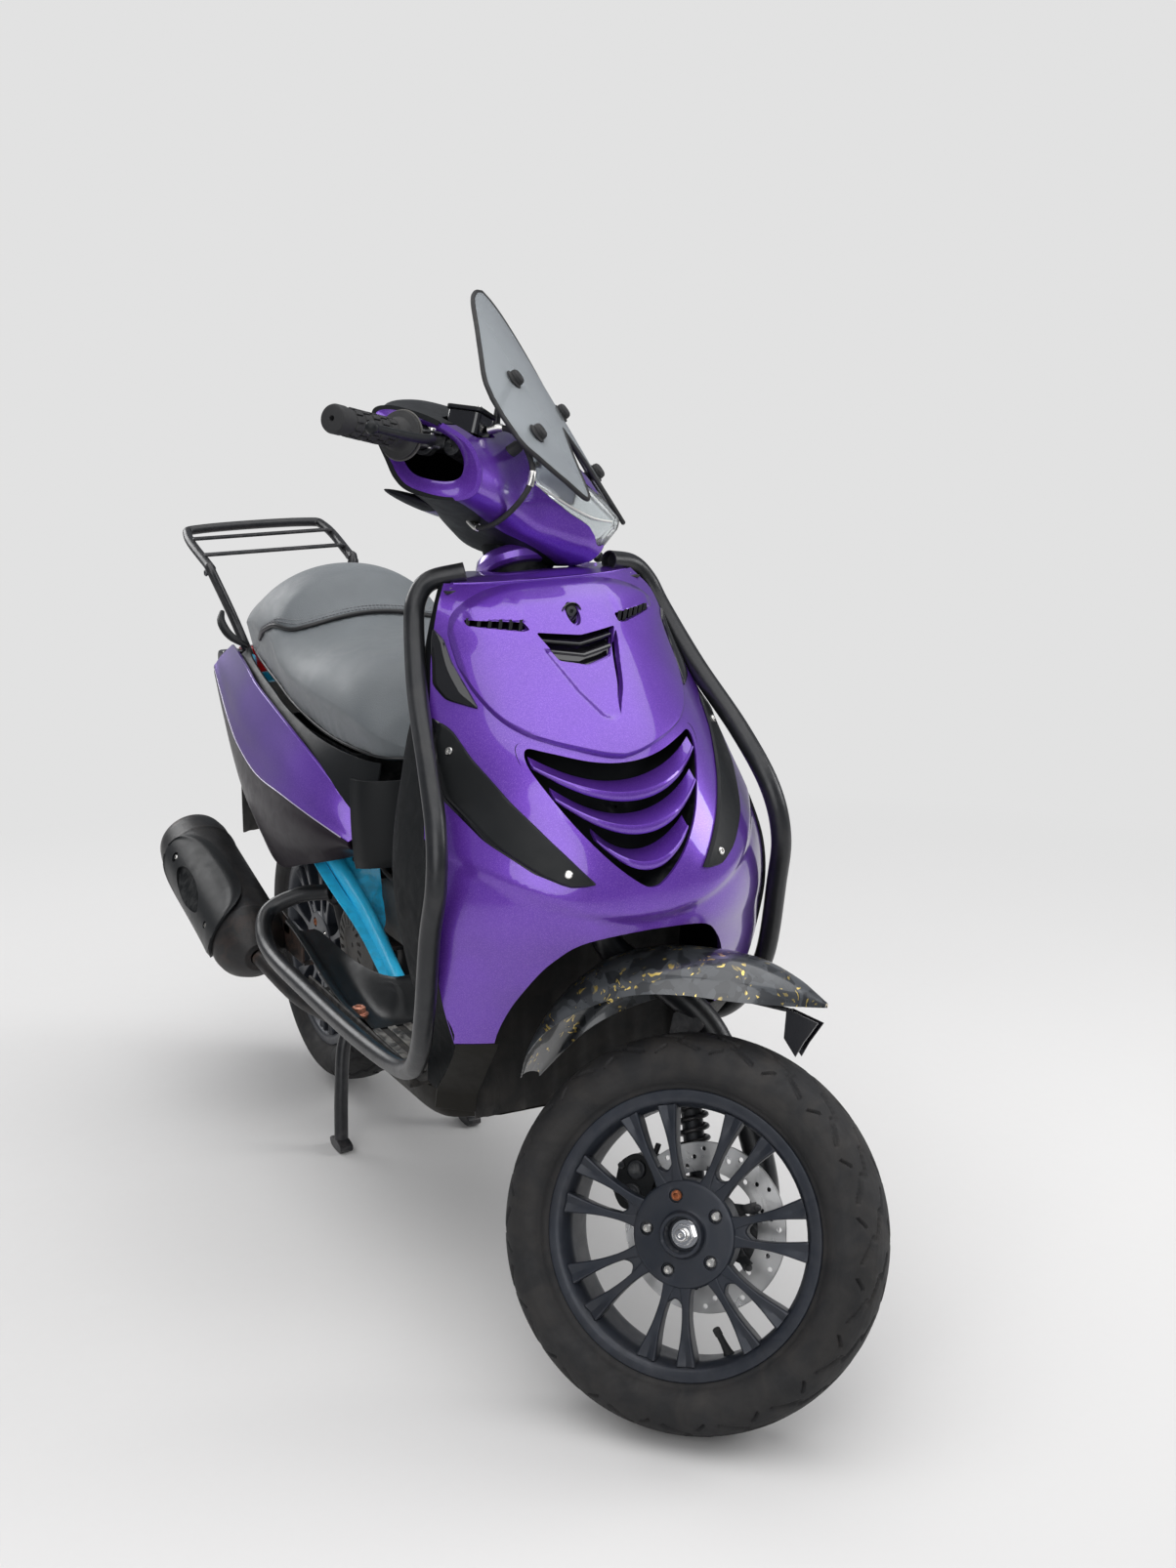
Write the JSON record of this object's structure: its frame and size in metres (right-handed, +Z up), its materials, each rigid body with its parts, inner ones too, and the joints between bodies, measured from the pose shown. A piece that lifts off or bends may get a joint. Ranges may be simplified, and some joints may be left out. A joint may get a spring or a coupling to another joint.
{
  "type": "motor scooter",
  "caption": "Light motor scooter on its centre stand: steered front wheel, rolling wheels, tilting seat, windshield, crash bars, rear rack and step-through floor.",
  "frame": {"origin": "middle of the bounding box at the ground the stand and the front tyre stand on", "axes": "+X to the rider's left, -Y forward, +Z up"},
  "size_m": [0.5336, 1.7752, 1.2963],
  "materials": {
    "purple_paint": "candy metallic, gloss",
    "black_plastic": "satin",
    "matt_plastic": "matt",
    "rubber": "matt",
    "tyre": "matt",
    "dark_cast": "satin, dark blue-black",
    "steel": "ground",
    "black_tube": "gloss",
    "clear_lens": "clear",
    "smoked_plastic": "smoked, gloss",
    "composite": "marbled black and grey with gold flakes",
    "blue_paint": "satin",
    "grey_vinyl": "grained",
    "alloy": "cast",
    "red_lens": "gloss",
    "plate_white": "satin"
  },
  "bodies": {
    "chassis": {"front_shield": "purple_paint", "nose_cover": "purple_paint", "side_panel_left": "purple_paint", "side_panel_right": "purple_paint", "air_filter_box": "black_plastic", "luggage_box": "black_plastic", "muffler_guard": "black_plastic", "signal_cover_left": "black_plastic", "signal_cover_right": "black_plastic", "inner_leg_shield": "matt_plastic", "wheel_arch_liner": "matt_plastic", "lower_fairing": "matt_plastic", "footboard": "matt_plastic", "under_seat_panel": "matt_plastic", "rear_fender": "matt_plastic", "rear_brake_drum": "dark_cast", "crash_bar_left": "black_tube", "crash_bar_right": "black_tube", "rear_rack": "black_tube", "kick_lever": "black_tube", "exhaust_pipe": "black_tube", "muffler": "black_tube", "rear_shock": "black_tube", "indicator_left": "smoked_plastic", "indicator_right": "smoked_plastic", "frame": "blue_paint", "engine_block": "alloy", "cylinder_cowl": "alloy", "fan_cover": "alloy", "transmission_case": "alloy", "tail_light": "red_lens", "number_plate": "plate_white"},
    "steered_front": {"steering_stem": "black_tube", "suspension_arm": "dark_cast", "front_shock": "black_tube", "caliper": "dark_cast", "front_fender": "composite", "handlebar_tube": "black_tube", "brake_reservoir": "black_plastic", "switch_housing": "black_plastic", "handlebar_cover_front": "purple_paint", "handlebar_cover_rear": "black_plastic", "headlight": "clear_lens", "windshield": "smoked_plastic", "brake_hose": "rubber", "grip_right": "rubber", "grip_left": "rubber", "lever_right": "black_plastic", "lever_left": "black_plastic", "screen_mount_right": "rubber", "screen_mount_left": "rubber"},
    "front_wheel": {"front_rim": "dark_cast", "front_tyre": "tyre", "front_disc": "steel"},
    "rear_wheel": {"rear_rim": "dark_cast", "rear_tyre": "tyre"},
    "stand": {"centre_stand": "black_tube"},
    "seat_lid": {"seat": "grey_vinyl"}
  },
  "joints": [
    {"name": "steering", "type": "hinge", "parent": "chassis", "child": "steered_front", "pos_m": [0.019, -0.778, 0], "axis": [0, 0.4462, 0.8949], "range_deg": [-90.6, 0]},
    {"name": "front_wheel_spin", "type": "hinge", "parent": "steered_front", "child": "front_wheel", "pos_m": [0.0412, -0.69171, 0.22231], "axis": [0.7034, 0.6361, -0.3172], "continuous": true},
    {"name": "rear_wheel_spin", "type": "hinge", "parent": "chassis", "child": "rear_wheel", "pos_m": [0.019, 0.51, 0.24], "axis": [1, 0, 0], "continuous": true},
    {"name": "stand_fold", "type": "hinge", "parent": "chassis", "child": "stand", "pos_m": [0.019, 0.255, 0.235], "axis": [1, 0, 0], "range_deg": [0, 60]},
    {"name": "seat_tilt", "type": "hinge", "parent": "chassis", "child": "seat_lid", "pos_m": [0.019, -0.032, 0.663], "axis": [1, 0, 0], "range_deg": [0, 62]}
  ]
}
